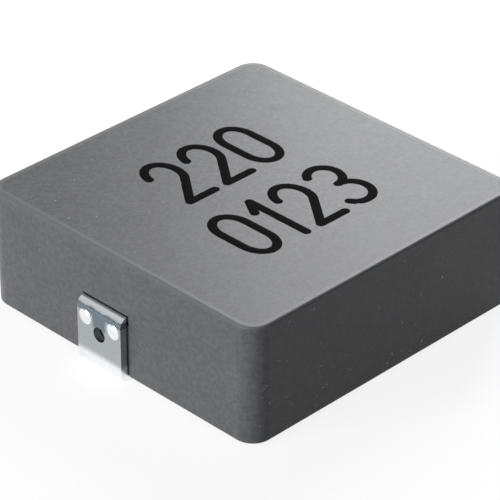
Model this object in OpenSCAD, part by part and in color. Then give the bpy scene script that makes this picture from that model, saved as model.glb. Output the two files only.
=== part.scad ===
// Shielded surface-mount power inductor of the moulded kind.
//
// A flat copper ribbon is wound into a coil of two layers, welded to two
// strips of a lead frame and pressed into one block of iron-powder composite,
// which is its core and its shield. The strips leave the block at half its
// height, fold down over its sides and end as solder feet in shallow recesses
// under it.
//
// All sizes are in millimetres. The origin is on the board under the middle of
// the body. +X runs from the first terminal's side to the second's, and +Z
// points up, away from the board.

/* [Body] */
// Length of the body, from one terminal side to the other
body_length = 10.2; // [9.4:0.1:12]
// Width of the body, along its terminal sides
body_width = 10.2; // [9.4:0.1:12]
// Height of the body alone, without the gap under it
body_height = 3.6; // [3.2:0.1:5]
// Height of the body's underside above the board
standoff = 0.1; // [0.04:0.01:0.16]
// Radius of the body's four upright edges
corner_radius = 0.6; // [0.4:0.05:1.6]
// Radius of the small rounding round the top and bottom faces
edge_radius = 0.08; // [0.06:0.01:0.3]

/* [Coil] */
// Diameter of the centre post, the part of the body inside the coil
post_diameter = 3.9; // [2.8:0.1:4.6]
// Thickness of the ribbon, measured along the coil's radius
ribbon_thickness = 0.25; // [0.12:0.01:0.3]
// Width of the ribbon, which stands on edge in its layer
ribbon_width = 1.15; // [0.7:0.05:1.3]
// Enamel and powder between neighbouring turns
turn_gap = 0.04; // [0.02:0.01:0.08]
// Enamel and powder between the two layers
layer_gap = 0.06; // [0.02:0.01:0.12]
// Whole turns in each layer, before the half turn that ends at its lead
layer_turns = 4; // [2:1:5]
// Gap between the coil and the body round it
coil_gap = 0.04; // [0.02:0.01:0.1]

/* [Terminals] */
// Thickness of the lead-frame strip
strip_thickness = 0.22; // [0.17:0.01:0.3]
// Width of the strip, leg and foot
strip_width = 1.68; // [1.2:0.02:3.2]
// Distance of the strip's middle from the body's middle, along the side
strip_offset = 0.4; // [0:0.05:1]
// Length of each foot, from the leg's outer face inwards
foot_length = 2.3; // [1.2:0.1:3]
// Diameter of the small round hole in each leg
hole_diameter = 0.44; // [0.2:0.02:0.8]
// Height of that hole's middle above the board
hole_height = 1.18; // [0.9:0.02:1.3]
// Gap between the strip and the body, and the inside radius of its folds
strip_gap = 0.04; // [0.02:0.01:0.08]

/* [Hidden] */
$fn = 96;
// How far a cut reaches past the face that it opens
over = 0.5;

// The plane in which the mould halves meet: the coil and both strips lie on it
mid = standoff + body_height / 2;

// Turns of a layer lie a pitch apart, and the layers' middles a step apart
pitch = ribbon_thickness + turn_gap;
layer_step = ribbon_width + layer_gap;
first_radius = post_diameter / 2 + coil_gap + ribbon_thickness / 2;
// The leads' outer faces, to which the strips' tabs are welded
lead_face = first_radius + (layer_turns + 1) * pitch + ribbon_thickness / 2;
// Half the coil's height
coil_half = layer_step / 2 + ribbon_width / 2;
// Each lead ends level with the far edge of its tab
lead_length = strip_offset + strip_width / 2;

// How far a leg's outer face stands out of the body's side
leg_out = strip_gap + strip_thickness;
// The tab's outer face, and the point about which it folds
tab_face = lead_face + strip_thickness;
tab_fold = tab_face + strip_gap;

// ---- Shared outlines ------------------------------------------------------

// Upright section of the block between x = inner and x = outer, rounded at
// the outer side only
module half_section(inner, outer) {
    e = edge_radius;
    translate([inner, 0])
        square([outer - e - inner, body_height]);
    translate([inner, e])
        square([outer - inner, body_height - 2 * e]);
    for (y = [e, body_height - e])
        translate([outer - e, y])
            circle(r = e);
}

// Upright section right across the block
module full_section(across) {
    half_section(0, across / 2);
    mirror([1, 0])
        half_section(0, across / 2);
}

// ---- Moulded body ---------------------------------------------------------

// The pressed block: two crossing prisms and four quarter-round corners
module block() {
    corner_x = body_length / 2 - corner_radius;
    corner_y = body_width / 2 - corner_radius;
    translate([0, 0, standoff]) {
        rotate([90, 0, 0])
            linear_extrude(2 * corner_y, center = true)
                full_section(body_length);
        rotate([90, 0, 90])
            linear_extrude(2 * corner_x, center = true)
                full_section(body_width);
        for (turn = [0 : 3]) {
            x = turn == 0 || turn == 3 ? corner_x : -corner_x;
            y = turn < 2 ? corner_y : -corner_y;
            translate([x, y, 0])
                rotate([0, 0, 90 * turn])
                    rotate_extrude(angle = 90)
                        half_section(0, corner_radius);
        }
    }
}

// The ring-shaped space that the winding fills, round the centre post
module winding_space() {
    height = 2 * (coil_half + coil_gap);
    translate([0, 0, mid])
        difference() {
            cylinder(h = height, r = lead_face + coil_gap, center = true);
            cylinder(h = height + 2 * over, d = post_diameter, center = true);
        }
}

// The space for one strip: its slot through the wall, the room for its tab and
// lead at the slot's inner end, and the recess under the body for its foot
module strip_space(tab_up) {
    side = body_length / 2;
    wide = strip_width + 2 * strip_gap;
    slot = strip_thickness + 2 * strip_gap;
    room_inner = lead_face - ribbon_thickness - coil_gap;
    translate([0, strip_offset - wide / 2, 0]) {
        translate([-side - over, 0, mid - slot / 2])
            cube([side + over - tab_face, wide, slot]);
        translate([0, 0, mid])
            mirror([0, 0, tab_up ? 0 : 1])
                translate([-tab_fold, 0, -slot / 2])
                    cube([tab_fold - room_inner, wide, slot / 2 + coil_half + coil_gap]);
        translate([-side - over, 0, standoff - over])
            cube([
                over + foot_length - leg_out + strip_gap,
                wide,
                over + strip_thickness + strip_gap - standoff]);
    }
}

module moulded_body() {
    color("#6b6c70")
        difference() {
            block();
            winding_space();
            strip_space(true);
            second_side()
                strip_space(false);
        }
}

// ---- Coil -----------------------------------------------------------------

// Half a turn of ribbon about (centre, 0), on the +Y side or the -Y side
module half_turn(centre, radius, upper) {
    translate([centre, 0, -ribbon_width / 2])
        rotate([0, 0, upper ? 0 : 180])
            rotate_extrude(angle = 180)
                translate([radius - ribbon_thickness / 2, 0])
                    square([ribbon_thickness, ribbon_width]);
}

// One layer with its lead. Its +Y halves are about the coil's axis, and its -Y
// halves are about a point half a pitch to -X, so each half turn ends where the
// next one starts, in line with it.
module layer() {
    translate([0, 0, layer_step / 2]) {
        for (k = [0 : layer_turns])
            half_turn(-pitch / 2, first_radius + (k + 0.5) * pitch, false);
        for (k = [1 : layer_turns])
            half_turn(0, first_radius + k * pitch, true);
        translate([-lead_face, 0, -ribbon_width / 2])
            cube([ribbon_thickness, lead_length, ribbon_width]);
    }
}

// The half turn next to the post, which climbs from the lower layer at -X to
// the upper one at +X
module crossover() {
    slope_end = first_radius - ribbon_thickness / 2;
    reach = first_radius + ribbon_thickness;
    rise = layer_step / 2;
    w = ribbon_width / 2;
    intersection() {
        rotate_extrude(angle = 180)
            translate([slope_end, -coil_half])
                square([ribbon_thickness, 2 * coil_half]);
        rotate([90, 0, 0])
            linear_extrude(2 * reach, center = true)
                polygon([
                    [-reach, -rise - w], [-slope_end, -rise - w],
                    [slope_end, rise - w], [reach, rise - w],
                    [reach, rise + w], [slope_end, rise + w],
                    [-slope_end, -rise + w], [-reach, -rise + w]]);
    }
}

module coil() {
    color("#b4653a")
        translate([0, 0, mid]) {
            layer();
            mirror([1, 0, 0])
                mirror([0, 0, 1])
                    layer();
            crossover();
        }
}

// ---- Terminals ------------------------------------------------------------

// What is drawn for the first terminal's side, turned over to the second's:
// there the tab turns down to the lower layer, and the rest is a mirror image.
module second_side() {
    mirror([1, 0, 0])
        children();
}

// A quarter of a fold about (x, z): quadrant 0 is +X +Z, 1 is -X +Z, and so on
module fold(x, z, quadrant) {
    outer = strip_gap + strip_thickness;
    translate([x, z])
        rotate(90 * quadrant)
            difference() {
                intersection() {
                    circle(r = outer);
                    square(outer);
                }
                circle(r = strip_gap);
            }
}

// The folded strip seen along Y, tab up
module strip_outline(tab_up) {
    t = strip_thickness;
    side = body_length / 2;
    leg_low = t + strip_gap;
    leg_high = mid - t / 2 - strip_gap;
    // Foot
    translate([-side, 0])
        square([foot_length - leg_out, t]);
    fold(-side, leg_low, 2);
    // Leg
    translate([-side - leg_out, leg_low])
        square([t, leg_high - leg_low]);
    fold(-side, leg_high, 1);
    // Strip in its slot
    translate([-side, mid - t / 2])
        square([side - tab_fold, t]);
    // Weld tab
    translate([0, mid])
        mirror([0, tab_up ? 0 : 1]) {
            fold(-tab_fold, t / 2 + strip_gap, 3);
            translate([-tab_face, t / 2 + strip_gap])
                square([t, coil_half - t / 2 - strip_gap]);
        }
}

module terminal(tab_up) {
    difference() {
        translate([0, strip_offset, 0])
            rotate([90, 0, 0])
                linear_extrude(strip_width, center = true)
                    strip_outline(tab_up);
        translate([-body_length / 2 - leg_out - over, strip_offset, hole_height])
            rotate([0, 90, 0])
                cylinder(h = leg_out + 2 * over, d = hole_diameter);
    }
}

module first_terminal() {
    color("#cfd3d6")
        terminal(true);
}

module second_terminal() {
    color("#cfd3d6")
        second_side()
            terminal(false);
}

moulded_body();
coil();
first_terminal();
second_terminal();
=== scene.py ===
import math

import bmesh
import bpy
from bpy.props import (
    FloatProperty,
    FloatVectorProperty,
    IntProperty,
    PointerProperty,
    StringProperty,
)
from mathutils import Matrix, Vector


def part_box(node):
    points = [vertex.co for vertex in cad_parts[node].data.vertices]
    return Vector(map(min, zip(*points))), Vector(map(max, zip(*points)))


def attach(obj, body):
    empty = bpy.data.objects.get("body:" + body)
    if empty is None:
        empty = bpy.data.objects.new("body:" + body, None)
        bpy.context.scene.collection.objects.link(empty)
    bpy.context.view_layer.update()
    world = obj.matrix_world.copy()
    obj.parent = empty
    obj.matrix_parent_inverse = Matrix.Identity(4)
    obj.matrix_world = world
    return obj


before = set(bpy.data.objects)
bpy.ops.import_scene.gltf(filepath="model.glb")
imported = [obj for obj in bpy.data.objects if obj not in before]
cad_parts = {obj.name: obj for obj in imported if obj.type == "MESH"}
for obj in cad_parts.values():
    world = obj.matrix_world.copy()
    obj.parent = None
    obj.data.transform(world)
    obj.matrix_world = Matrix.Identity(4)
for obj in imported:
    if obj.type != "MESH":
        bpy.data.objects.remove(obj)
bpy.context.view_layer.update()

bl_info = {
    "name": "Moulded power inductor",
    "version": (1, 0, 0),
    "blender": (4, 5, 0),
    "location": "3D View > Sidebar > Inductor",
    "description": "Finishes, marking and studio of a shielded surface-mount inductor",
    "category": "Object",
}

MM = 0.001
BODY = "moulded_body"
COIL = "coil"
TERMINALS = ("first_terminal", "second_terminal")


# ---- Small helpers ----------------------------------------------------------


def linear(hex_colour):
    """An sRGB colour such as "#8a8b8f" as linear red, green, blue and alpha."""
    channels = []
    for start in (1, 3, 5):
        value = int(hex_colour[start:start + 2], 16) / 255
        if value <= 0.04045:
            channels.append(value / 12.92)
        else:
            channels.append(((value + 0.055) / 1.055) ** 2.4)
    return (*channels, 1.0)


def add(tree, kind, inputs=None, **settings):
    """Add a node. Each input is a plain value or another node's output."""
    made = tree.nodes.new(kind)
    for name, value in settings.items():
        setattr(made, name, value)
    for socket, value in (inputs or {}).items():
        if isinstance(value, bpy.types.NodeSocket):
            tree.links.new(value, made.inputs[socket])
        else:
            made.inputs[socket].default_value = value
    return made


def blank_material(name):
    """A new material with an empty node tree."""
    material = bpy.data.materials.new(name)
    material.use_nodes = True
    material.node_tree.nodes.clear()
    return material, material.node_tree


def cell(width):
    """The texture scale at which one cell of a pattern has a given width."""
    return 1 / width


def show(mesh, name):
    """Put a mesh in the scene as an object at the origin."""
    piece = bpy.data.objects.new(name, mesh)
    bpy.context.scene.collection.objects.link(piece)
    return piece


def apply_nodes(piece, tree, **values):
    """Run a geometry node tree on a piece and keep its result as a plain mesh."""
    modifier = piece.modifiers.new(tree.name, "NODES")
    modifier.node_group = tree
    sockets = {item.name: item for item in tree.interface.items_tree}
    for name, value in values.items():
        modifier[sockets[name].identifier] = value
    evaluated = piece.evaluated_get(bpy.context.evaluated_depsgraph_get())
    result = bpy.data.meshes.new_from_object(evaluated)
    result.name = piece.name
    piece.modifiers.clear()
    piece.data = result


# ---- Materials --------------------------------------------------------------

# Sockets of a Mix node for colours: three inputs and, last, the output. Their
# names are also those of its sockets for other values, so they go by number.
SHARE = 0
COLOUR_A = 6
COLOUR_B = 7
MIXED = 2


def shaded(colour, factor):
    """A colour made darker or lighter."""
    return (*(channel * factor for channel in colour[:3]), 1.0)


def soft_band(tree, value, low, high, blur):
    """1 where a value lies between low and high, falling to 0 over blur outside."""
    above = add(
        tree, "ShaderNodeMapRange",
        {"Value": value, "From Min": low - blur, "From Max": low},
        interpolation_type="SMOOTHSTEP")
    below = add(
        tree, "ShaderNodeMapRange",
        {"Value": value, "From Min": high + blur, "From Max": high},
        interpolation_type="SMOOTHSTEP")
    return add(
        tree, "ShaderNodeMath", {0: above.outputs[0], 1: below.outputs[0]},
        operation="MULTIPLY").outputs[0]


def edge_distance(tree, place, high, radius):
    """How far a point lies outside a rounded block, seen from above.

    It is below 0 inside the block, which is centred in X and Y. Its highest
    corner is high, and radius rounds its upright edges.
    """
    level = add(
        tree, "ShaderNodeVectorMath", {0: place, 1: (1, 1, 0)}, operation="MULTIPLY")
    mirrored = add(
        tree, "ShaderNodeVectorMath", {0: level.outputs[0]}, operation="ABSOLUTE")
    past = add(
        tree, "ShaderNodeVectorMath",
        {0: mirrored.outputs[0], 1: (high.x - radius, high.y - radius, 0)},
        operation="SUBTRACT")
    corner = add(
        tree, "ShaderNodeVectorMath", {0: past.outputs[0], 1: (0, 0, 0)},
        operation="MAXIMUM")
    out = add(
        tree, "ShaderNodeVectorMath", {0: corner.outputs[0]}, operation="LENGTH")
    sides = add(tree, "ShaderNodeSeparateXYZ", {"Vector": past.outputs[0]}).outputs
    nearer = add(
        tree, "ShaderNodeMath", {0: sides["X"], 1: sides["Y"]}, operation="MAXIMUM")
    inside = add(
        tree, "ShaderNodeMath", {0: nearer.outputs[0], 1: 0.0}, operation="MINIMUM")
    total = add(
        tree, "ShaderNodeMath", {0: out.outputs["Value"], 1: inside.outputs[0]})
    return add(
        tree, "ShaderNodeMath", {0: total.outputs[0], 1: radius},
        operation="SUBTRACT").outputs[0]


# Width of the cloudy patches in the pressed powder
CLOUD_SIZE = 1.4 * MM
# Size of the dust between the grains, as a share of a grain
DUST_SHARE = 0.6
# Tones of the darkest grains, the lightest grains and the painted highlight on
# the rim, where 1 is the mean colour
DARK_GRAIN = 0.8
LIGHT_GRAIN = 1.2
RIM_HIGHLIGHT = 1.4
# Height of the relief that the grains leave in the skin
GRAIN_RELIEF = 0.004 * MM


def pressed_iron_powder(colour, grain, high, corner, rim):
    """Iron-powder composite, pressed in a polished die.

    Each grain keeps a tone of its own, resin fills the joints between them,
    and the die leaves the skin smooth, so it has a soft and even sheen. A
    lighter band just inside the rim of the top face is a painted highlight.
    """
    material, tree = blank_material("pressed iron powder")
    place = add(tree, "ShaderNodeTexCoord").outputs["Object"]
    grains = add(
        tree, "ShaderNodeTexVoronoi",
        {"Vector": place, "Scale": cell(grain), "Randomness": 1.0})
    grain_tone = add(tree, "ShaderNodeSeparateColor", {"Color": grains.outputs["Color"]})
    cloud = add(
        tree, "ShaderNodeTexNoise",
        {"Vector": place, "Scale": cell(CLOUD_SIZE), "Detail": 2.0, "Roughness": 0.5})
    dust = add(
        tree, "ShaderNodeTexNoise",
        {"Vector": place, "Scale": cell(grain * DUST_SHARE), "Detail": 2.0})
    # The tones of grain and cloud add up to a number round 0.5, which picks
    # between the darkest and the lightest grey
    grain_share = add(
        tree, "ShaderNodeMapRange",
        {"Value": grain_tone.outputs["Red"], "To Min": -0.35, "To Max": 0.35})
    cloud_share = add(
        tree, "ShaderNodeMapRange",
        {"Value": cloud.outputs["Fac"], "To Min": 0.2, "To Max": 0.8})
    tone = add(
        tree, "ShaderNodeMath", {0: grain_share.outputs[0], 1: cloud_share.outputs[0]},
        use_clamp=True)
    grey = add(
        tree, "ShaderNodeMix",
        {
            SHARE: tone.outputs[0],
            COLOUR_A: shaded(colour, DARK_GRAIN),
            COLOUR_B: shaded(colour, LIGHT_GRAIN),
        },
        data_type="RGBA")
    # The painted highlight lies just inside the edge of the top face
    distance = edge_distance(tree, place, high, corner)
    height = add(tree, "ShaderNodeSeparateXYZ", {"Vector": place}).outputs["Z"]
    on_top = add(
        tree, "ShaderNodeMath", {0: height, 1: high.z - rim}, operation="GREATER_THAN")
    by_edge = soft_band(tree, distance, -1.4 * rim, -0.2 * rim, blur=0.3 * rim)
    painted_highlight = add(
        tree, "ShaderNodeMath", {0: on_top.outputs[0], 1: by_edge}, operation="MULTIPLY")
    # Lighten the rim of the top face with the painted highlight
    finish = add(
        tree, "ShaderNodeMix",
        {
            SHARE: painted_highlight.outputs[0],
            COLOUR_A: grey.outputs[MIXED],
            COLOUR_B: shaded(colour, RIM_HIGHLIGHT),
        },
        data_type="RGBA")
    roughness = add(
        tree, "ShaderNodeMapRange",
        {"Value": dust.outputs["Fac"], "To Min": 0.27, "To Max": 0.39})
    relief = add(
        tree, "ShaderNodeMath",
        {0: grain_tone.outputs["Green"], 1: dust.outputs["Fac"]}, operation="MULTIPLY")
    bump = add(
        tree, "ShaderNodeBump",
        {"Height": relief.outputs[0], "Strength": 0.35, "Distance": GRAIN_RELIEF})
    skin = add(
        tree, "ShaderNodeBsdfPrincipled",
        {
            "Base Color": finish.outputs[MIXED],
            "Roughness": roughness.outputs[0],
            "IOR": 1.5,
            "Specular IOR Level": 0.2,
            "Normal": bump.outputs[0],
        })
    add(tree, "ShaderNodeOutputMaterial", {"Surface": skin.outputs[0]})
    return material


# Rolling marks: their length along the strip and their spacing across it. Real
# ones lie closer together, and these are coarse enough to show.
MARK_LENGTH = 1.5 * MM
MARK_SPACING = 0.05 * MM
# Size of the soft patches in the plating, and height of its relief
PATCH_SIZE = 0.25 * MM
TIN_RELIEF = 0.006 * MM
# How far the edges of the plating's zones waver to each side
WAVER = 0.04 * MM
# The painted dark reflection along the fold and the painted highlight on the
# crest, from where the fold starts
DARK_REFLECTION_FROM = -0.02 * MM
DARK_REFLECTION_TO = 0.12 * MM
CREST_FROM = 0.16 * MM
CREST_TO = 0.3 * MM
# How far the painted highlight on the crest goes from plain tin to the light tin
CREST_SHARE = 0.32
# Half the width of the painted dark reflection between the fold and the hole
DARK_REFLECTION_HALF = 0.2 * MM
# Height over which the painted reflection above the foot fades out
FOOT_REFLECTION_FADE = 0.26 * MM


def bright_matt_tin(colour, dark_reflection_colour, highlight_colour, strip):
    """Electroplated tin over a rolled copper strip.

    The plating is bright but fine-grained, so it reflects in soft patches, and
    the rolling marks under it run along the strip. A dark reflection is painted
    along the fold and between the fold and the hole, a lighter reflection is
    painted round the foot, and a highlight is painted along the crest of the fold.
    """
    material, tree = blank_material("bright matt tin")
    place = add(tree, "ShaderNodeTexCoord").outputs["Object"]
    # The strip runs along X and Z, and Y lies across it
    along_strip = add(
        tree, "ShaderNodeMapping",
        {"Vector": place, "Scale": (cell(MARK_LENGTH), cell(MARK_SPACING), cell(MARK_LENGTH))})
    marks = add(
        tree, "ShaderNodeTexNoise",
        {"Vector": along_strip.outputs[0], "Scale": 1.0, "Detail": 2.0})
    plating = add(
        tree, "ShaderNodeTexNoise",
        {"Vector": place, "Scale": cell(PATCH_SIZE), "Detail": 3.0})
    axes = add(tree, "ShaderNodeSeparateXYZ", {"Vector": place}).outputs
    waver = add(
        tree, "ShaderNodeMapRange",
        {"Value": plating.outputs["Fac"], "To Min": -WAVER, "To Max": WAVER})
    across = add(
        tree, "ShaderNodeMath", {0: axes["Y"], 1: waver.outputs[0]})
    height = add(
        tree, "ShaderNodeMath", {0: axes["Z"], 1: waver.outputs[0]})
    # A dark reflection is painted along the fold, and over the hole near the middle
    along_fold = soft_band(
        tree, height.outputs[0], strip.fold + DARK_REFLECTION_FROM, strip.fold + DARK_REFLECTION_TO,
        blur=0.05 * MM)
    near_middle = soft_band(
        tree, across.outputs[0], strip.middle - DARK_REFLECTION_HALF, strip.middle + DARK_REFLECTION_HALF,
        blur=0.1 * MM)
    above_hole = soft_band(
        tree, height.outputs[0], strip.hole_top, strip.fold, blur=0.12 * MM)
    over_hole = add(
        tree, "ShaderNodeMath", {0: near_middle, 1: above_hole}, operation="MULTIPLY")
    dark_reflection = add(
        tree, "ShaderNodeMath", {0: along_fold, 1: over_hole.outputs[0]},
        operation="MAXIMUM")
    tin_and_dark_reflection = add(
        tree, "ShaderNodeMix",
        {SHARE: dark_reflection.outputs[0], COLOUR_A: colour, COLOUR_B: dark_reflection_colour},
        data_type="RGBA")
    # A lighter reflection is painted round the foot and fades out above it
    foot_reflection = add(
        tree, "ShaderNodeMapRange",
        {"Value": height.outputs[0], "From Min": strip.foot_reflection_top + FOOT_REFLECTION_FADE, "From Max": strip.foot_reflection_top},
        interpolation_type="SMOOTHSTEP")
    # A highlight is painted along the crest of the fold
    crest = soft_band(
        tree, height.outputs[0], strip.fold + CREST_FROM, strip.fold + CREST_TO,
        blur=0.04 * MM)
    painted_highlight = add(
        tree, "ShaderNodeMath", {0: crest, 1: CREST_SHARE}, operation="MULTIPLY")
    # The painted reflection round the foot and the painted highlight on the crest take the
    # light colour
    bright = add(
        tree, "ShaderNodeMath", {0: foot_reflection.outputs[0], 1: painted_highlight.outputs[0]},
        operation="MAXIMUM")
    shade = add(
        tree, "ShaderNodeMix",
        {SHARE: bright.outputs[0], COLOUR_A: tin_and_dark_reflection.outputs[MIXED], COLOUR_B: highlight_colour},
        data_type="RGBA")
    roughness = add(
        tree, "ShaderNodeMapRange",
        {"Value": plating.outputs["Fac"], "To Min": 0.18, "To Max": 0.38})
    relief = add(
        tree, "ShaderNodeMath",
        {0: marks.outputs["Fac"], 1: plating.outputs["Fac"]})
    bump = add(
        tree, "ShaderNodeBump",
        {"Height": relief.outputs[0], "Strength": 0.25, "Distance": TIN_RELIEF})
    metal = add(
        tree, "ShaderNodeBsdfPrincipled",
        {
            "Base Color": shade.outputs[MIXED],
            "Metallic": 1.0,
            "Roughness": roughness.outputs[0],
            "Normal": bump.outputs[0],
        })
    add(tree, "ShaderNodeOutputMaterial", {"Surface": metal.outputs[0]})
    return material


def highlight_tin(colour):
    """Mirror-smooth tin for a strip's high spots, in a painted highlight colour."""
    material, tree = blank_material("painted highlight tin")
    place = add(tree, "ShaderNodeTexCoord").outputs["Object"]
    rubbing = add(
        tree, "ShaderNodeTexNoise",
        {"Vector": place, "Scale": cell(0.12 * MM), "Detail": 2.0})
    roughness = add(
        tree, "ShaderNodeMapRange",
        {"Value": rubbing.outputs["Fac"], "To Min": 0.12, "To Max": 0.3})
    metal = add(
        tree, "ShaderNodeBsdfPrincipled",
        {"Base Color": colour, "Metallic": 1.0, "Roughness": roughness.outputs[0]})
    add(tree, "ShaderNodeOutputMaterial", {"Surface": metal.outputs[0]})
    return material


def enamelled_copper(colour):
    """Rolled copper ribbon under a clear coat of baked enamel.

    Its rolled surface is soft and streaky, and the enamel over it is glossy.
    """
    material, tree = blank_material("enamelled copper")
    place = add(tree, "ShaderNodeTexCoord").outputs["Object"]
    streaks = add(
        tree, "ShaderNodeTexNoise",
        {"Vector": place, "Scale": cell(0.4 * MM), "Detail": 3.0})
    shade = add(
        tree, "ShaderNodeMix",
        {SHARE: streaks.outputs["Fac"], COLOUR_A: shaded(colour, 0.75), COLOUR_B: colour},
        data_type="RGBA")
    metal = add(
        tree, "ShaderNodeBsdfPrincipled",
        {
            "Base Color": shade.outputs[MIXED],
            "Metallic": 1.0,
            "Roughness": 0.28,
            "Coat Weight": 1.0,
            "Coat Roughness": 0.08,
        })
    add(tree, "ShaderNodeOutputMaterial", {"Surface": metal.outputs[0]})
    return material


def printed_ink(colour):
    """Black epoxy ink, stamped on and baked: dead flat, with faint thin spots."""
    material, tree = blank_material("printed ink")
    place = add(tree, "ShaderNodeTexCoord").outputs["Object"]
    cover = add(
        tree, "ShaderNodeTexNoise",
        {"Vector": place, "Scale": cell(0.12 * MM), "Detail": 2.0})
    shade = add(
        tree, "ShaderNodeMix",
        {SHARE: cover.outputs["Fac"], COLOUR_A: colour, COLOUR_B: shaded(colour, 1.5)},
        data_type="RGBA")
    roughness = add(
        tree, "ShaderNodeMapRange",
        {"Value": cover.outputs["Fac"], "To Min": 0.6, "To Max": 0.8})
    ink = add(
        tree, "ShaderNodeBsdfPrincipled",
        {
            "Base Color": shade.outputs[MIXED],
            "Roughness": roughness.outputs[0],
            "Specular IOR Level": 0.02,
        })
    add(tree, "ShaderNodeOutputMaterial", {"Surface": ink.outputs[0]})
    return material


def bare_iron_fleck(colour):
    """A coarse iron flake that the die has pressed flat, so it glints a little."""
    material, tree = blank_material("bare iron fleck")
    place = add(tree, "ShaderNodeTexCoord").outputs["Object"]
    wear = add(
        tree, "ShaderNodeTexNoise", {"Vector": place, "Scale": cell(0.3 * MM)})
    roughness = add(
        tree, "ShaderNodeMapRange",
        {"Value": wear.outputs["Fac"], "To Min": 0.35, "To Max": 0.6})
    metal = add(
        tree, "ShaderNodeBsdfPrincipled",
        {"Base Color": colour, "Metallic": 0.6, "Roughness": roughness.outputs[0]})
    add(tree, "ShaderNodeOutputMaterial", {"Surface": metal.outputs[0]})
    return material


# ---- Settings ---------------------------------------------------------------


class FinishSettings(bpy.types.PropertyGroup):
    """Colours and patterns of the finishes"""

    powder_colour: FloatVectorProperty(
        name="Powder colour", description="Mean colour of the pressed powder",
        subtype="COLOR", size=4, min=0, max=1, default=linear("#7c7d81"))
    # Real grains are about half as wide, and these are coarse enough to show
    grain_size: FloatProperty(
        name="Grain size", description="Width of one grain of powder",
        subtype="DISTANCE", default=0.09 * MM, min=0.03 * MM, max=0.3 * MM)
    # The corner radius and the rim width shape the painted highlight on the top's rim
    corner_radius: FloatProperty(
        name="Corner radius", description="Radius that the rubbed rim follows",
        subtype="DISTANCE", default=0.6 * MM, min=0)
    rim_width: FloatProperty(
        name="Rim width", description="Width of the rubbed rim of the top face",
        subtype="DISTANCE", default=0.12 * MM, min=0.01 * MM)
    tin_colour: FloatVectorProperty(
        name="Tin colour", description="Colour of the plated terminals",
        subtype="COLOR", size=4, min=0, max=1, default=linear("#acb1b4"))
    # Colour of the painted dark reflection along the fold and over the hole
    dark_reflection_tin_colour: FloatVectorProperty(
        name="Dark reflection tin colour", description="Colour of the plating that folding stretched",
        subtype="COLOR", size=4, min=0, max=1, default=linear("#75818a"))
    # Colour of the painted highlights on bosses and crests, and of the painted reflection round
    # the feet
    highlight_tin_colour: FloatVectorProperty(
        name="Highlight tin colour", description="Colour of the tin on bosses, feet and crests",
        subtype="COLOR", size=4, min=0, max=1, default=linear("#f2f5f7"))
    copper_colour: FloatVectorProperty(
        name="Copper colour", description="Colour of the coil's ribbon",
        subtype="COLOR", size=4, min=0, max=1, default=linear("#c8784a"))
    fleck_colour: FloatVectorProperty(
        name="Fleck colour", description="Colour of the bare iron flecks",
        subtype="COLOR", size=4, min=0, max=1, default=linear("#77777b"))
    fleck_size: FloatProperty(
        name="Fleck size", description="Largest width of a bare iron fleck",
        subtype="DISTANCE", default=0.07 * MM, min=0.02 * MM, max=0.2 * MM)
    flecks_per_mm2: FloatProperty(
        name="Flecks", description="Bare iron flecks on each square millimetre",
        default=4.0, min=0, max=12)
    seed: IntProperty(
        name="Seed", description="Changes where the flecks lie", default=4, min=0)


class TerminalSettings(bpy.types.PropertyGroup):
    """Places on a terminal that its finish and its bosses follow"""

    middle: FloatProperty(
        name="Middle", description="Place of each strip's middle along the body's side",
        subtype="DISTANCE", default=sum(corner.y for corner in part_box(TERMINALS[0])) / 2)
    hole_top: FloatProperty(
        name="Hole top", description="Height of the top of the hole",
        subtype="DISTANCE", default=1.4 * MM)
    fold: FloatProperty(
        name="Fold", description="Height at which the leg starts to fold into the body",
        subtype="DISTANCE", default=1.75 * MM)
    # Top of the painted reflection that lightens the foot
    foot_reflection_top: FloatProperty(
        name="Foot reflection top", description="Height to which solder has covered the foot",
        subtype="DISTANCE", default=0.36 * MM)
    boss_spacing: FloatProperty(
        name="Boss spacing", description="Distance between the two bosses of a leg",
        subtype="DISTANCE", default=1.07 * MM, min=0)
    boss_height: FloatProperty(
        name="Boss height", description="Height of the bosses' middles above the board",
        subtype="DISTANCE", default=1.52 * MM)
    boss_width: FloatProperty(
        name="Boss width", description="Width of a boss, pressed out of the strip",
        subtype="DISTANCE", default=0.46 * MM, min=0.1 * MM, max=0.6 * MM)
    boss_rise: FloatProperty(
        name="Boss rise", description="How far a boss stands out of the leg",
        subtype="DISTANCE", default=0.05 * MM, min=0.01 * MM, max=0.1 * MM)


class MarkingSettings(bpy.types.PropertyGroup):
    """The plain numerals on the top face"""

    upper_line: StringProperty(
        name="Upper line", description="Plain numerals of the upper line", default="220")
    lower_line: StringProperty(
        name="Lower line", description="Plain numerals of the lower line", default="0123")
    height: FloatProperty(
        name="Height", description="Height of a numeral",
        subtype="DISTANCE", default=2.4 * MM, min=0.5 * MM, max=4 * MM)
    width: FloatProperty(
        name="Width", description="Width of a numeral other than 1",
        subtype="DISTANCE", default=1.2 * MM, min=0.3 * MM, max=3 * MM)
    gap: FloatProperty(
        name="Gap", description="Space between two numerals",
        subtype="DISTANCE", default=0.2 * MM, min=0, max=1 * MM)
    stroke: FloatProperty(
        name="Stroke", description="Width of a printed stroke",
        subtype="DISTANCE", default=0.27 * MM, min=0.05 * MM, max=0.8 * MM)
    upper_place: FloatVectorProperty(
        name="Upper place", description="Middle of the upper line on the top face",
        subtype="XYZ", size=2, unit="LENGTH", default=(0.07 * MM, 1.65 * MM))
    lower_place: FloatVectorProperty(
        name="Lower place", description="Middle of the lower line on the top face",
        subtype="XYZ", size=2, unit="LENGTH", default=(-0.09 * MM, -1.6 * MM))
    ink_colour: FloatVectorProperty(
        name="Ink colour", description="Colour of the printed ink",
        subtype="COLOR", size=4, min=0, max=1, default=linear("#0a0a0c"))


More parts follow.
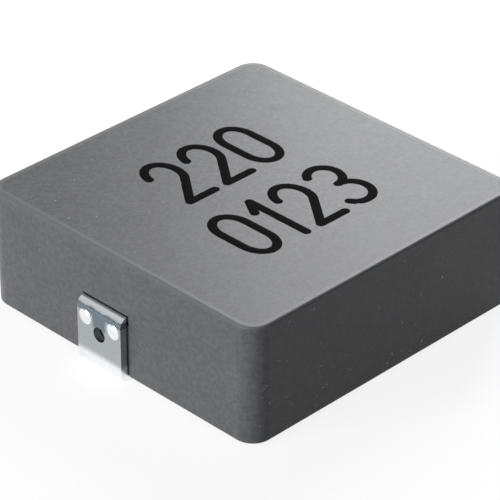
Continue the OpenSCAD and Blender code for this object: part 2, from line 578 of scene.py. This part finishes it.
class StudioSettings(bpy.types.PropertyGroup):
    """The camera and the floor"""

    turn: FloatProperty(
        name="Turn", description="Camera's angle round the part, from the -Y side",
        subtype="ANGLE", default=math.radians(-44.92))
    rise: FloatProperty(
        name="Rise", description="Camera's angle above the floor",
        subtype="ANGLE", default=math.radians(32.08))
    distance: FloatProperty(
        name="Distance", description="From the camera to the point it looks at",
        subtype="DISTANCE", default=82.2 * MM, min=20 * MM)
    lens: FloatProperty(
        name="Lens", description="Focal length of the camera",
        unit="CAMERA", default=216.3, min=20)
    aim: FloatVectorProperty(
        name="Aim", description="The point that the camera looks at",
        subtype="XYZ", size=3, unit="LENGTH",
        default=(-0.06 * MM, 0.059 * MM, 1.643 * MM))
    floor_radius: FloatProperty(
        name="Floor radius", description="Radius of the pale floor",
        subtype="DISTANCE", default=250 * MM)


# ---- Printed numerals -------------------------------------------------------

# The largest step between two points of an arc, in degrees
ARC_STEP = 12


def arc(x, y, across, up, start, sweep):
    """Points of an ellipse's arc, in a numeral's unit box. Angles in degrees."""
    count = math.ceil(abs(sweep) / ARC_STEP)
    points = []
    for step in range(count + 1):
        angle = math.radians(start + sweep * step / count)
        points.append((x + across * math.cos(angle), y + up * math.sin(angle)))
    return points


# Centre lines of the ten numerals, each in a box from (0, 0) to (1, 1). A
# stroke that ends where it starts is a closed loop.
NUMERALS = {
    "0": [arc(0.5, 0.7, 0.5, 0.3, 0, 180) + arc(0.5, 0.3, 0.5, 0.3, 180, 180) + [(1, 0.7)]],
    "1": [[(0.0, 0.76), (0.8, 1.0)], [(0.8, 1.0), (0.8, 0.0)]],
    "2": [arc(0.5, 0.7, 0.5, 0.3, 170, -210) + [(0.0, 0.0)], [(0.0, 0.0), (1.0, 0.0)]],
    "3": [arc(0.45, 0.76, 0.5, 0.24, 150, -240), arc(0.45, 0.26, 0.55, 0.26, 90, -240)],
    "4": [[(0.7, 1.0), (0.0, 0.3)], [(0.0, 0.3), (1.0, 0.3)], [(0.7, 1.0), (0.7, 0.0)]],
    "5": [[(0.95, 1.0), (0.12, 1.0)], [(0.12, 1.0), (0.06, 0.53)],
          arc(0.48, 0.32, 0.52, 0.32, 140, -280)],
    "6": [arc(0.5, 0.3, 0.5, 0.3, 0, 360), arc(0.8, 0.3, 0.8, 0.7, 180, -80)],
    "7": [[(0.0, 1.0), (1.0, 1.0)], [(1.0, 1.0), (0.3, 0.0)]],
    "8": [arc(0.5, 0.77, 0.44, 0.23, 0, 360), arc(0.5, 0.27, 0.5, 0.27, 0, 360)],
    "9": [arc(0.5, 0.7, 0.5, 0.3, 0, 360), arc(0.2, 0.7, 0.8, 0.7, 0, -80)],
}
# A 1 is this share of the other numerals' width
NARROW_ONE = 0.55


def numeral_width(numeral, settings):
    """Full width of one printed numeral."""
    return settings.width * (NARROW_ONE if numeral == "1" else 1.0)


def extended(points, length):
    """Both ends of an open stroke, drawn out by a length."""
    first = points[0] + (points[0] - points[1]).normalized() * length
    last = points[-1] + (points[-1] - points[-2]).normalized() * length
    return [first, *points[1:-1], last]


def centre_lines(text, settings):
    """A mesh of edges along the strokes of a line of numerals, about the origin."""
    half = settings.stroke / 2
    widths = [numeral_width(numeral, settings) for numeral in text]
    x = -(sum(widths) + settings.gap * (len(text) - 1)) / 2
    bm = bmesh.new()
    for numeral, width in zip(text, widths):
        across = width - settings.stroke
        up = settings.height - settings.stroke
        for stroke in NUMERALS[numeral]:
            points = [
                Vector((x + half + px * across, (py - 0.5) * up, 0)) for px, py in stroke]
            closed = (points[0] - points[-1]).length < settings.stroke / 100
            if closed:
                points.pop()
            else:
                points = extended(points, half)
            verts = [bm.verts.new(point) for point in points]
            for here, there in zip(verts, verts[1:]):
                bm.edges.new((here, there))
            if closed:
                bm.edges.new((verts[-1], verts[0]))
        x += width + settings.gap
    mesh = bpy.data.meshes.new("centre lines")
    bm.to_mesh(mesh)
    bm.free()
    return mesh


# Points along a stroke lie this share of its half width apart
POINT_STEP = 0.3
# At its tip a stroke narrows to this share of its width
TIP_SHARE = 0.1
# Points round the section of a stroke
SECTION_POINTS = 12
# How far the ink stands up from the face
INK_RISE = 0.008 * MM


def stroke_tree():
    """Geometry nodes that turn centre lines into low, round-ended ink strokes."""
    tree = bpy.data.node_groups.new("ink strokes", "GeometryNodeTree")
    face = tree.interface
    face.new_socket("Lines", in_out="INPUT", socket_type="NodeSocketGeometry")
    face.new_socket("Half width", in_out="INPUT", socket_type="NodeSocketFloat")
    face.new_socket("Thickness", in_out="INPUT", socket_type="NodeSocketFloat")
    face.new_socket("Ink", in_out="INPUT", socket_type="NodeSocketMaterial")
    face.new_socket("Strokes", in_out="OUTPUT", socket_type="NodeSocketGeometry")
    given = add(tree, "NodeGroupInput").outputs
    step = add(
        tree, "ShaderNodeMath", {0: given["Half width"], 1: POINT_STEP},
        operation="MULTIPLY")
    line = add(tree, "GeometryNodeMeshToCurve", {"Mesh": given["Lines"]})
    curve = add(
        tree, "GeometryNodeResampleCurve",
        {"Curve": line.outputs[0], "Length": step.outputs[0]}, mode="LENGTH")
    # Near each end the stroke narrows as a circle does: sqrt(t (2 - t))
    along = add(tree, "GeometryNodeSplineParameter").outputs["Length"]
    whole = add(tree, "GeometryNodeSplineLength").outputs["Length"]
    left = add(tree, "ShaderNodeMath", {0: whole, 1: along}, operation="SUBTRACT")
    end = add(tree, "ShaderNodeMath", {0: along, 1: left.outputs[0]}, operation="MINIMUM")
    share = add(
        tree, "ShaderNodeMath", {0: end.outputs[0], 1: given["Half width"]},
        operation="DIVIDE", use_clamp=True)
    rest = add(tree, "ShaderNodeMath", {0: 2.0, 1: share.outputs[0]}, operation="SUBTRACT")
    product = add(
        tree, "ShaderNodeMath", {0: share.outputs[0], 1: rest.outputs[0]},
        operation="MULTIPLY")
    root = add(tree, "ShaderNodeMath", {0: product.outputs[0]}, operation="SQRT")
    tip = add(
        tree, "ShaderNodeMath", {0: root.outputs[0], 1: TIP_SHARE}, operation="MAXIMUM")
    looped = add(tree, "GeometryNodeInputSplineCyclic")
    scale = add(
        tree, "GeometryNodeSwitch",
        {"Switch": looped.outputs[0], "False": tip.outputs[0], "True": 1.0},
        input_type="FLOAT")
    ring = add(
        tree, "GeometryNodeCurvePrimitiveCircle",
        {"Resolution": SECTION_POINTS, "Radius": given["Half width"]})
    tube = add(
        tree, "GeometryNodeCurveToMesh",
        {
            "Curve": curve.outputs[0],
            "Profile Curve": ring.outputs[0],
            "Scale": scale.outputs[0],
            "Fill Caps": True,
        })
    flatness = add(
        tree, "ShaderNodeMath", {0: given["Thickness"], 1: given["Half width"]},
        operation="DIVIDE")
    squash = add(
        tree, "ShaderNodeCombineXYZ", {0: 1.0, 1: 1.0, 2: flatness.outputs[0]})
    flat = add(
        tree, "GeometryNodeTransform",
        {"Geometry": tube.outputs[0], "Scale": squash.outputs[0]})
    real = add(tree, "GeometryNodeRealizeInstances", {"Geometry": flat.outputs[0]})
    inked = add(
        tree, "GeometryNodeSetMaterial",
        {"Geometry": real.outputs[0], "Material": given["Ink"]})
    add(tree, "NodeGroupOutput", {"Strokes": inked.outputs[0]})
    return tree


class PrintMarking(bpy.types.Operator):
    """Print two lines of plain numerals on the top face"""

    bl_idname = "inductor.print_marking"
    bl_label = "Print the numerals"

    def execute(self, context):
        settings = context.scene.inductor_marking
        ink = printed_ink(tuple(settings.ink_colour))
        tree = stroke_tree()
        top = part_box(BODY)[1].z
        lines = (
            ("upper_numerals", settings.upper_line, settings.upper_place),
            ("lower_numerals", settings.lower_line, settings.lower_place))
        for name, text, (x, y) in lines:
            piece = show(centre_lines(text, settings), name)
            apply_nodes(
                piece, tree,
                **{"Half width": settings.stroke / 2, "Thickness": INK_RISE, "Ink": ink})
            piece.data.transform(Matrix.Translation((x, y, top)))
            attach(piece, "root")
        return {"FINISHED"}


# ---- Finishes ---------------------------------------------------------------


def dress(node, material):
    """Give a CAD node a material in its first slot."""
    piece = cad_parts[node]
    if not piece.material_slots:
        raise RuntimeError(f"{node} has no material slot")
    piece.material_slots[0].material = material


class FinishBody(bpy.types.Operator):
    """Finish the moulded body as pressed iron powder"""

    bl_idname = "inductor.finish_body"
    bl_label = "Finish the body"

    def execute(self, context):
        settings = context.scene.inductor_finish
        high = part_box(BODY)[1]
        dress(BODY, pressed_iron_powder(
            tuple(settings.powder_colour), settings.grain_size, high,
            settings.corner_radius, settings.rim_width))
        return {"FINISHED"}


class FinishTerminals(bpy.types.Operator):
    """Finish both terminals as tinned copper strip"""

    bl_idname = "inductor.finish_terminals"
    bl_label = "Finish the terminals"

    def execute(self, context):
        colours = context.scene.inductor_finish
        strip = context.scene.inductor_terminals
        tin = bright_matt_tin(
            tuple(colours.tin_colour), tuple(colours.dark_reflection_tin_colour),
            tuple(colours.highlight_tin_colour), strip)
        for node in TERMINALS:
            dress(node, tin)
        return {"FINISHED"}


# Each boss is the outer cap of a flattened ball, whose middle lies this deep in
# the strip
BOSS_ROOT = 0.08 * MM


def boss_tree():
    """Geometry nodes that set a low, smooth boss on each point."""
    tree = bpy.data.node_groups.new("bosses", "GeometryNodeTree")
    face = tree.interface
    face.new_socket("Places", in_out="INPUT", socket_type="NodeSocketGeometry")
    face.new_socket("Depth", in_out="INPUT", socket_type="NodeSocketFloat")
    face.new_socket("Width", in_out="INPUT", socket_type="NodeSocketFloat")
    face.new_socket("Metal", in_out="INPUT", socket_type="NodeSocketMaterial")
    face.new_socket("Bosses", in_out="OUTPUT", socket_type="NodeSocketGeometry")
    given = add(tree, "NodeGroupInput").outputs
    # The ball is one unit across, so its scale is its size
    ball = add(
        tree, "GeometryNodeMeshUVSphere", {"Segments": 32, "Rings": 20, "Radius": 0.5})
    shape = add(
        tree, "ShaderNodeCombineXYZ", {0: given["Depth"], 1: given["Width"], 2: given["Width"]})
    laid = add(
        tree, "GeometryNodeInstanceOnPoints",
        {
            "Points": given["Places"],
            "Instance": ball.outputs["Mesh"],
            "Scale": shape.outputs[0],
        })
    real = add(tree, "GeometryNodeRealizeInstances", {"Geometry": laid.outputs[0]})
    smooth = add(tree, "GeometryNodeSetShadeSmooth", {"Geometry": real.outputs[0]})
    finished = add(
        tree, "GeometryNodeSetMaterial",
        {"Geometry": smooth.outputs[0], "Material": given["Metal"]})
    add(tree, "NodeGroupOutput", {"Bosses": finished.outputs[0]})
    return tree


class PressBosses(bpy.types.Operator):
    """Press two low bosses out of each leg, one each side of its hole"""

    bl_idname = "inductor.press_bosses"
    bl_label = "Press the bosses"

    def execute(self, context):
        strip = context.scene.inductor_terminals
        # The ball's half depth, and the share of its width that its cap shows
        reach = BOSS_ROOT + strip.boss_rise
        cap = math.sqrt(1 - (BOSS_ROOT / reach) ** 2)
        places = []
        for node in TERMINALS:
            low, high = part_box(node)
            face = low.x if low.x + high.x < 0 else high.x
            inwards = -math.copysign(BOSS_ROOT, face)
            for side in (-0.5, 0.5):
                places.append((
                    face + inwards, strip.middle + side * strip.boss_spacing,
                    strip.boss_height))
        mesh = bpy.data.meshes.new("places")
        mesh.from_pydata(places, [], [])
        piece = show(mesh, "leg_bosses")
        # The bosses take the light colour of a painted highlight
        metal = highlight_tin(tuple(context.scene.inductor_finish.highlight_tin_colour))
        apply_nodes(
            piece, boss_tree(), Depth=2 * reach, Width=strip.boss_width / cap, Metal=metal)
        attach(piece, "root")
        return {"FINISHED"}


class FinishCoil(bpy.types.Operator):
    """Finish the coil as enamelled copper ribbon"""

    bl_idname = "inductor.finish_coil"
    bl_label = "Finish the coil"

    def execute(self, context):
        dress(COIL, enamelled_copper(tuple(context.scene.inductor_finish.copper_colour)))
        return {"FINISHED"}


# A face belongs to a block's skin if its middle lies within this depth of a
# side, and it faces that side at least this much, where 1 is square on
SKIN_DEPTH = 0.35 * MM
SKIN_FACING = 0.3
# Points of the loose triangles that lie closer than this are one point
MERGE_DISTANCE = 0.0001 * MM


def outer_skin(node):
    """A copy of a block's outer faces, without its inside, slots and recesses."""
    low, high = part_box(node)
    centre = (low + high) / 2
    half = (high - low) / 2
    bm = bmesh.new()
    bm.from_mesh(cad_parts[node].data)
    bmesh.ops.remove_doubles(bm, verts=bm.verts, dist=MERGE_DISTANCE)
    inner = []
    for face in bm.faces:
        away = face.calc_center_median() - centre
        depth = [half[axis] - abs(away[axis]) for axis in range(3)]
        outward = [
            face.normal[axis] * math.copysign(1, away[axis]) for axis in range(3)]
        on_skin = any(
            depth[axis] < SKIN_DEPTH and outward[axis] > SKIN_FACING
            for axis in range(3))
        if not on_skin:
            inner.append(face)
    bmesh.ops.delete(bm, geom=inner, context="FACES")
    mesh = bpy.data.meshes.new("outer skin")
    bm.to_mesh(mesh)
    bm.free()
    return mesh


# The narrowest fleck, as a share of the widest
FLECK_LEAST = 0.45
# A fleck's least breadth and its thickness, as shares of its width
FLECK_SLIMMEST = 0.6
FLECK_THICKNESS = 0.12
# How far a fleck may lie off level, and how far it may turn, in radians
FLECK_TILT = 0.08
FLECK_TURN = 3.14
# Fixed seeds for the flecks' breadth and turn
BREADTH_SEED = 11
TURN_SEED = 12


def fleck_tree():
    """Geometry nodes that press flat flecks into a skin."""
    tree = bpy.data.node_groups.new("iron flecks", "GeometryNodeTree")
    face = tree.interface
    face.new_socket("Skin", in_out="INPUT", socket_type="NodeSocketGeometry")
    face.new_socket("Density", in_out="INPUT", socket_type="NodeSocketFloat")
    face.new_socket("Size", in_out="INPUT", socket_type="NodeSocketFloat")
    face.new_socket("Seed", in_out="INPUT", socket_type="NodeSocketInt")
    face.new_socket("Iron", in_out="INPUT", socket_type="NodeSocketMaterial")
    face.new_socket("Flecks", in_out="OUTPUT", socket_type="NodeSocketGeometry")
    given = add(tree, "NodeGroupInput").outputs
    points = add(
        tree, "GeometryNodeDistributePointsOnFaces",
        {"Mesh": given["Skin"], "Density": given["Density"], "Seed": given["Seed"]})
    fleck = add(tree, "GeometryNodeMeshIcoSphere", {"Radius": 0.5, "Subdivisions": 1})
    # A random number's limits are sockets 2 and 3, and it comes out at 1. A random
    # vector's limits are sockets 0 and 1, and it comes out at 0.
    size = add(
        tree, "FunctionNodeRandomValue", {2: FLECK_LEAST, 3: 1.0, "Seed": given["Seed"]})
    width = add(
        tree, "ShaderNodeMath", {0: size.outputs[1], 1: given["Size"]},
        operation="MULTIPLY")
    stretch = add(
        tree, "FunctionNodeRandomValue",
        {2: FLECK_SLIMMEST, 3: 1.0, "Seed": BREADTH_SEED})
    breadth = add(
        tree, "ShaderNodeMath", {0: width.outputs[0], 1: stretch.outputs[1]},
        operation="MULTIPLY")
    rise = add(
        tree, "ShaderNodeMath", {0: width.outputs[0], 1: FLECK_THICKNESS},
        operation="MULTIPLY")
    shape = add(
        tree, "ShaderNodeCombineXYZ",
        {0: width.outputs[0], 1: breadth.outputs[0], 2: rise.outputs[0]})
    # Each fleck is turned at random and lies a few degrees off level
    tilt = add(
        tree, "FunctionNodeRandomValue",
        {
            0: (-FLECK_TILT, -FLECK_TILT, -FLECK_TURN),
            1: (FLECK_TILT, FLECK_TILT, FLECK_TURN),
            "Seed": TURN_SEED,
        },
        data_type="FLOAT_VECTOR")
    turned = add(
        tree, "FunctionNodeRotateRotation",
        {0: points.outputs["Rotation"], 1: tilt.outputs[0]}, rotation_space="LOCAL")
    laid = add(
        tree, "GeometryNodeInstanceOnPoints",
        {
            "Points": points.outputs["Points"],
            "Instance": fleck.outputs["Mesh"],
            "Rotation": turned.outputs[0],
            "Scale": shape.outputs[0],
        })
    real = add(tree, "GeometryNodeRealizeInstances", {"Geometry": laid.outputs[0]})
    finished = add(
        tree, "GeometryNodeSetMaterial",
        {"Geometry": real.outputs[0], "Material": given["Iron"]})
    add(tree, "NodeGroupOutput", {"Flecks": finished.outputs[0]})
    return tree


class ScatterFlecks(bpy.types.Operator):
    """Press bare iron flecks into the body's outer skin"""

    bl_idname = "inductor.scatter_flecks"
    bl_label = "Scatter iron flecks"

    def execute(self, context):
        settings = context.scene.inductor_finish
        piece = show(outer_skin(BODY), "iron_flecks")
        apply_nodes(
            piece, fleck_tree(),
            Density=settings.flecks_per_mm2 / MM ** 2,
            Size=settings.fleck_size,
            Seed=settings.seed,
            Iron=bare_iron_fleck(tuple(settings.fleck_colour)))
        if not piece.data.polygons:
            raise RuntimeError("no flecks were made")
        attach(piece, "root")
        return {"FINISHED"}


# ---- Studio -----------------------------------------------------------------

# Soft boxes. Turn is the angle round the part from the -Y side and rise the
# angle above the floor, in degrees. Sizes are in metres. Strength is the
# brightness of the box's face, where 1 is white.
SOFT_BOXES = (
    {
        "name": "left box", "turn": -100, "rise": 17, "distance": 160 * MM,
        "width": 90 * MM, "height": 110 * MM, "strength": 5.0,
    },
    {
        "name": "back right box", "turn": 123, "rise": 33, "distance": 75 * MM,
        "width": 30 * MM, "height": 50 * MM, "strength": 7.1,
    },
)
# The point that the soft boxes face
LIT_POINT = Vector((0, 0, 2 * MM))
# Brightness of the room for the light that it gives
ROOM_LIGHT = 0.06
# In a reflection the room is this bright near the horizon. It brightens between
# these two heights, each the sine of an angle above the horizon.
DIM_WALL = 0.4
DIM_BELOW = 0.3
WHITE_ABOVE = 0.7
# Brightness that the paper shows beyond what the lamps give it
PAPER_GLOW = 0.86
# The floor lies just under the feet, so that it shares no plane with them
FLOOR_DROP = 0.005 * MM


def from_angles(turn, rise):
    """The unit vector at an angle round the part and an angle above the floor."""
    return Vector((
        math.sin(turn) * math.cos(rise), -math.cos(turn) * math.cos(rise),
        math.sin(rise)))


def face_towards(thing, target):
    """Turn a lamp or camera so that it looks at a point."""
    thing.rotation_euler = (target - thing.location).to_track_quat("-Z", "Y").to_euler()


def add_soft_box(name, turn, rise, distance, width, height, strength):
    """An area lamp whose face has the stated brightness."""
    lamp = bpy.data.lights.new(name, "AREA")
    lamp.shape = "RECTANGLE"
    lamp.size = width
    lamp.size_y = height
    lamp.energy = strength * math.pi * lamp.size * lamp.size_y
    box = bpy.data.objects.new(name, lamp)
    bpy.context.scene.collection.objects.link(box)
    box.location = from_angles(math.radians(turn), math.radians(rise)) * distance
    face_towards(box, LIT_POINT)


def seen_directly(tree):
    """1 for a ray that shows the background: camera, mirror or glass ray."""
    path = add(tree, "ShaderNodeLightPath").outputs
    either = add(
        tree, "ShaderNodeMath",
        {0: path["Is Camera Ray"], 1: path["Is Glossy Ray"]}, operation="MAXIMUM")
    return add(
        tree, "ShaderNodeMath",
        {0: either.outputs[0], 1: path["Is Transmission Ray"]},
        operation="MAXIMUM").outputs[0]


def studio_paper():
    """Smooth pale paper that shows as white and keeps a faint shadow."""
    material, tree = blank_material("studio paper")
    glow = add(
        tree, "ShaderNodeMath", {0: seen_directly(tree), 1: PAPER_GLOW},
        operation="MULTIPLY")
    paper = add(tree, "ShaderNodeBsdfDiffuse", {"Color": linear("#9a9a9a")})
    light = add(
        tree, "ShaderNodeEmission",
        {"Color": (1, 1, 1, 1), "Strength": glow.outputs[0]})
    both = add(tree, "ShaderNodeAddShader", {0: paper.outputs[0], 1: light.outputs[0]})
    add(tree, "ShaderNodeOutputMaterial", {"Surface": both.outputs[0]})
    return material


def lay_floor(radius):
    """A round, pale floor under the part."""
    bm = bmesh.new()
    bmesh.ops.create_circle(
        bm, cap_ends=True, segments=96, radius=radius,
        matrix=Matrix.Translation((0, 0, -FLOOR_DROP)))
    mesh = bpy.data.meshes.new("floor")
    bm.to_mesh(mesh)
    bm.free()
    mesh.materials.append(studio_paper())
    show(mesh, "floor")


def light_the_room():
    """A white room to look at, which gives only a little light of its own.

    In a reflection it darkens towards the horizon, as a room does beyond the
    soft boxes.
    """
    world = bpy.data.worlds.new("white room")
    world.use_nodes = True
    tree = world.node_tree
    tree.nodes.clear()
    direction = add(tree, "ShaderNodeTexCoord").outputs["Generated"]
    height = add(tree, "ShaderNodeSeparateXYZ", {"Vector": direction}).outputs["Z"]
    wall = add(
        tree, "ShaderNodeMapRange",
        {
            "Value": height,
            "From Min": DIM_BELOW,
            "From Max": WHITE_ABOVE,
            "To Min": DIM_WALL,
            "To Max": 1.0,
        },
        interpolation_type="SMOOTHSTEP")
    is_camera = add(tree, "ShaderNodeLightPath").outputs["Is Camera Ray"]
    shown = add(
        tree, "ShaderNodeMath", {0: wall.outputs[0], 1: is_camera}, operation="MAXIMUM")
    strength = add(
        tree, "ShaderNodeMapRange",
        {"Value": seen_directly(tree), "To Min": ROOM_LIGHT, "To Max": shown.outputs[0]})
    sky = add(
        tree, "ShaderNodeBackground",
        {"Color": (1, 1, 1, 1), "Strength": strength.outputs[0]})
    add(tree, "ShaderNodeOutputWorld", {"Surface": sky.outputs[0]})
    bpy.context.scene.world = world


def place_camera(settings):
    """The camera, turned and lifted round the point that it looks at."""
    camera = bpy.data.objects.new("camera", bpy.data.cameras.new("camera"))
    bpy.context.scene.collection.objects.link(camera)
    camera.data.lens = settings.lens
    camera.data.clip_start = 1 * MM
    camera.data.clip_end = 1000 * MM
    aim = Vector(settings.aim)
    camera.location = aim + from_angles(settings.turn, settings.rise) * settings.distance
    face_towards(camera, aim)
    bpy.context.scene.camera = camera


class BuildStudio(bpy.types.Operator):
    """Set up the floor, the lamps, the white room and the camera"""

    bl_idname = "inductor.build_studio"
    bl_label = "Build the studio"

    def execute(self, context):
        settings = context.scene.inductor_studio
        lay_floor(settings.floor_radius)
        for box in SOFT_BOXES:
            add_soft_box(**box)
        light_the_room()
        place_camera(settings)
        context.scene.view_settings.view_transform = "Standard"
        return {"FINISHED"}


# ---- Panel and registration -------------------------------------------------


class InductorPanel(bpy.types.Panel):
    """The inductor's settings and building steps"""

    bl_idname = "VIEW3D_PT_inductor"
    bl_label = "Moulded inductor"
    bl_space_type = "VIEW_3D"
    bl_region_type = "UI"
    bl_category = "Inductor"

    def draw(self, context):
        scene = context.scene
        groups = (
            (scene.inductor_finish, (FinishBody, FinishTerminals, FinishCoil, ScatterFlecks)),
            (scene.inductor_terminals, (PressBosses,)),
            (scene.inductor_marking, (PrintMarking,)),
            (scene.inductor_studio, (BuildStudio,)))
        for settings, steps in groups:
            box = self.layout.box()
            for name in settings.bl_rna.properties.keys():
                if name not in ("rna_type", "name"):
                    box.prop(settings, name)
            for step in steps:
                box.operator(step.bl_idname)


SETTINGS = {
    "inductor_finish": FinishSettings,
    "inductor_terminals": TerminalSettings,
    "inductor_marking": MarkingSettings,
    "inductor_studio": StudioSettings,
}
CLASSES = (
    *SETTINGS.values(), FinishBody, FinishTerminals, FinishCoil, ScatterFlecks,
    PressBosses, PrintMarking, BuildStudio, InductorPanel)


def register():
    """Add the classes, and the settings on the scene."""
    for item in CLASSES:
        bpy.utils.register_class(item)
    for name, group in SETTINGS.items():
        setattr(bpy.types.Scene, name, PointerProperty(type=group))


def unregister():
    """Take the settings and the classes away again."""
    for name in SETTINGS:
        delattr(bpy.types.Scene, name)
    for item in reversed(CLASSES):
        bpy.utils.unregister_class(item)


def main():
    """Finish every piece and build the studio."""
    register()
    bpy.ops.inductor.finish_body()
    bpy.ops.inductor.finish_terminals()
    bpy.ops.inductor.finish_coil()
    bpy.ops.inductor.scatter_flecks()
    bpy.ops.inductor.press_bosses()
    bpy.ops.inductor.print_marking()
    bpy.ops.inductor.build_studio()


if __name__ == "__main__":
    main()
